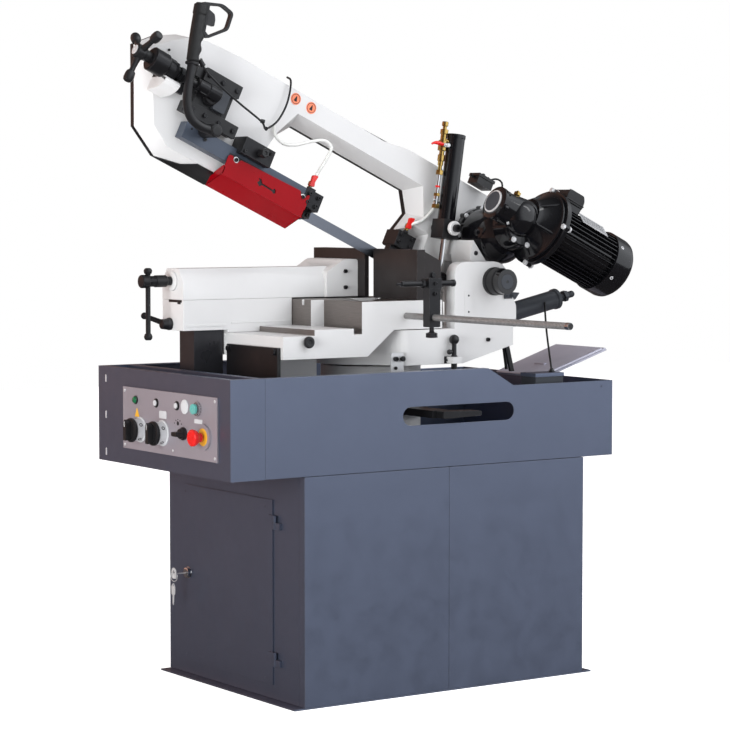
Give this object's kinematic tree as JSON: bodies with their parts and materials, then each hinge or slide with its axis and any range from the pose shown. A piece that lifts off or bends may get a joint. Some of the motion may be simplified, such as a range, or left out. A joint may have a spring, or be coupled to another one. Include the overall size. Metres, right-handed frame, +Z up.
{
  "type": "band saw",
  "caption": "Swivel-head metal-cutting band saw on a sheet cabinet, with a pivoting bow, screw vise, chip tray and hydraulic down-feed.",
  "frame": {"origin": "centre of the cabinet's underside, on the floor", "axes": "+X from the operator's panel towards the motor end, +Y towards the infeed side, +Z up"},
  "size_m": [1.3383, 1.143, 1.6392],
  "materials": {
    "white_enamel": "gloss",
    "slate_coat": "satin powder coat",
    "black_paint": "gloss",
    "black_plastic": "satin",
    "red_paint": "gloss",
    "red_plastic": "gloss",
    "teal_plastic": "gloss",
    "grey_casting": "satin",
    "grey_panel": "satin",
    "bare_steel": "machined",
    "chrome": "polished",
    "brass": "polished",
    "hose": "smooth",
    "cable": "satin"
  },
  "bodies": {
    "stand": {"cabinet_floor": "slate_coat", "cabinet_front_left_panel": "slate_coat", "cabinet_front_right_panel": "slate_coat", "cabinet_rear_panel": "slate_coat", "cabinet_door_frame": "slate_coat", "coolant_tank": "slate_coat", "chip_tray": "slate_coat", "control_box": "slate_coat", "control_panel": "grey_panel", "base_casting": "white_enamel", "vise_guide": "white_enamel", "deck_end_plate": "black_paint", "outfeed_fixed_jaw": "grey_casting", "infeed_fixed_jaw": "grey_casting", "length_stop_rod": "bare_steel", "junction_box": "grey_casting", "drip_plate": "grey_panel", "junction_cable": "cable"},
    "cabinet_door": {"cabinet_door": "slate_coat"},
    "door_key": {"door_key": "bare_steel"},
    "main_switch": {"main_switch_knob": "black_plastic"},
    "speed_switch": {"speed_switch_knob": "black_plastic"},
    "selector": {"selector_knob": "black_plastic"},
    "start_button": {"start_button": "teal_plastic"},
    "emergency_stop": {"emergency_stop": "red_plastic"},
    "vise": {"vise_slide": "white_enamel", "moving_jaw_plate": "black_paint"},
    "vise_screw": {"vise_screw": "black_paint"},
    "tommy_bar": {"vise_tommy_bar": "black_paint"},
    "vise_lock": {"vise_lock_lever": "black_paint"},
    "length_stop": {"length_stop_block": "black_paint"},
    "swivel": {"swivel_arm": "white_enamel", "pivot_pin": "black_paint", "counter_spring": "grey_casting"},
    "mitre_lock": {"mitre_lock_lever": "black_paint"},
    "index_pin": {"index_pin": "black_plastic"},
    "bow": {"bow_casting": "white_enamel", "rear_cover": "black_paint", "saw_blade": "bare_steel", "arm_clamp": "black_paint", "tension_guide": "black_paint", "rear_guide_head": "black_paint", "limit_switch": "black_plastic", "feed_handle": "black_plastic", "gearbox": "black_paint", "drive_motor": "black_paint", "front_coolant_hose": "hose", "rear_coolant_hose": "hose", "trigger_cable": "cable"},
    "drive_wheel": {"drive_wheel": "grey_casting"},
    "tension": {"tension_slide": "black_paint"},
    "front_wheel": {"front_wheel": "grey_casting"},
    "tension_handle": {"tension_handle": "black_plastic"},
    "guide": {"guide_arm": "slate_coat", "blade_guard": "red_paint"},
    "trigger": {"trigger": "grey_casting"},
    "damper_tube": {"damper_tube": "black_paint", "flow_valve": "brass"},
    "damper_rod": {"damper_rod": "chrome"},
    "valve_lever": {"valve_lever": "red_plastic"}
  },
  "joints": [
    {"name": "door_swing", "type": "hinge", "parent": "stand", "child": "cabinet_door", "pos_m": [-0.421, -0.194, 0.25], "axis": [0, 0, 1], "range_deg": [0, 110]},
    {"name": "key_turn", "type": "hinge", "parent": "cabinet_door", "child": "door_key", "pos_m": [-0.44, 0.214, 0.258], "axis": [-1, 0, 0], "range_deg": [0, 90]},
    {"name": "main_switch_turn", "type": "hinge", "parent": "stand", "child": "main_switch", "pos_m": [-0.65, 0.095, 0.634], "axis": [-1, 0, 0], "range_deg": [0, 90]},
    {"name": "speed_switch_turn", "type": "hinge", "parent": "stand", "child": "speed_switch", "pos_m": [-0.65, -0.012, 0.634], "axis": [-1, 0, 0], "range_deg": [-60, 60]},
    {"name": "selector_turn", "type": "hinge", "parent": "stand", "child": "selector", "pos_m": [-0.63, -0.112, 0.64], "axis": [-1, 0, 0], "range_deg": [-45, 45]},
    {"name": "start_press", "type": "slide", "parent": "stand", "child": "start_button", "axis": [1, 0, 0], "range_m": [0, 0.0025], "stiffness_N_per_m": 600, "springref_m": -0.002},
    {"name": "stop_press", "type": "slide", "parent": "stand", "child": "emergency_stop", "axis": [1, 0, 0], "range_m": [0, 0.005], "stiffness_N_per_m": 800, "springref_m": -0.003},
    {"name": "vise_travel", "type": "slide", "parent": "stand", "child": "vise", "axis": [-1, 0, 0], "range_m": [0, 0.2]},
    {"name": "screw_turn", "type": "hinge", "parent": "vise", "child": "vise_screw", "pos_m": [-0.592, 0.1, 0.988], "axis": [-1, 0, 0], "range_deg": [0, 9000.5]},
    {"name": "tommy_slide", "type": "slide", "parent": "vise_screw", "child": "tommy_bar", "axis": [0, 0, 1], "range_m": [0, 0.108]},
    {"name": "vise_lock_turn", "type": "hinge", "parent": "stand", "child": "vise_lock", "pos_m": [-0.53, 0.112, 0.884], "axis": [-1, 0, 0], "range_deg": [-20, 70]},
    {"name": "stop_travel", "type": "slide", "parent": "stand", "child": "length_stop", "axis": [0, -1, 0], "range_m": [-0.07, 0.48]},
    {"name": "mitre_turn", "type": "hinge", "parent": "stand", "child": "swivel", "pos_m": [-0.015, 0, 0.82], "axis": [0, 0, 1], "range_deg": [0, 45]},
    {"name": "mitre_lock_turn", "type": "hinge", "parent": "stand", "child": "mitre_lock", "pos_m": [-0.015, 0, 0.67], "axis": [0, 0, 1], "range_deg": [-8, 12]},
    {"name": "index_lift", "type": "slide", "parent": "swivel", "child": "index_pin", "axis": [0, 0, 1], "range_m": [0, 0.012]},
    {"name": "bow_lift", "type": "hinge", "parent": "swivel", "child": "bow", "pos_m": [0.217, 0, 0.982], "axis": [0, 1, 0], "range_deg": [-25, 30]},
    {"name": "drive_wheel_turn", "type": "hinge", "parent": "bow", "child": "drive_wheel", "pos_m": [0.25914, 0, 1.06055], "axis": [0, 1, 0], "continuous": true},
    {"name": "front_wheel_turn", "type": "hinge", "parent": "tension", "child": "front_wheel", "pos_m": [-0.51575, 0, 1.42189], "axis": [0, 1, 0], "continuous": true},
    {"name": "tension_turn", "type": "hinge", "parent": "bow", "child": "tension_handle", "pos_m": [-0.70813, -0.076, 1.52042], "axis": [-0.9063, 0, 0.4226], "range_deg": [-1440.5, 0]},
    {"name": "tension_travel", "type": "slide", "parent": "bow", "child": "tension", "axis": [-0.9063, 0, 0.4226], "range_m": [-0.008, 0]},
    {"name": "guide_travel", "type": "slide", "parent": "bow", "child": "guide", "axis": [0.9063, 0, -0.4226], "range_m": [-0.04, 0.1]},
    {"name": "trigger_pull", "type": "slide", "parent": "bow", "child": "trigger", "axis": [-0.9063, 0, 0.4226], "range_m": [0, 0.005], "stiffness_N_per_m": 500, "springref_m": -0.004},
    {"name": "damper_swing", "type": "hinge", "parent": "bow", "child": "damper_tube", "pos_m": [0.15975, -0.075, 1.11241], "axis": [0, 1, 0], "range_deg": [-2.6, 2.2]},
    {"name": "damper_stroke", "type": "slide", "parent": "damper_tube", "child": "damper_rod", "axis": [-0.1456, 0, -0.9893], "range_m": [-0.033, 0.039]},
    {"name": "valve_turn", "type": "hinge", "parent": "damper_tube", "child": "valve_lever", "pos_m": [0.15718, -0.089, 1.31871], "axis": [0, 1, 0], "range_deg": [0, 75]}
  ],
  "couplings": [
    {"joint": "screw_turn", "follows": "vise_travel", "rad_per_m": 785.4},
    {"joint": "front_wheel_turn", "follows": "drive_wheel_turn", "ratio": 1},
    {"joint": "tension_turn", "follows": "tension_travel", "rad_per_m": 3141.6},
    {"joint": "damper_swing", "follows": "bow_lift", "ratio": -0.08},
    {"joint": "damper_stroke", "follows": "bow_lift", "m_per_rad": 0.0728}
  ]
}
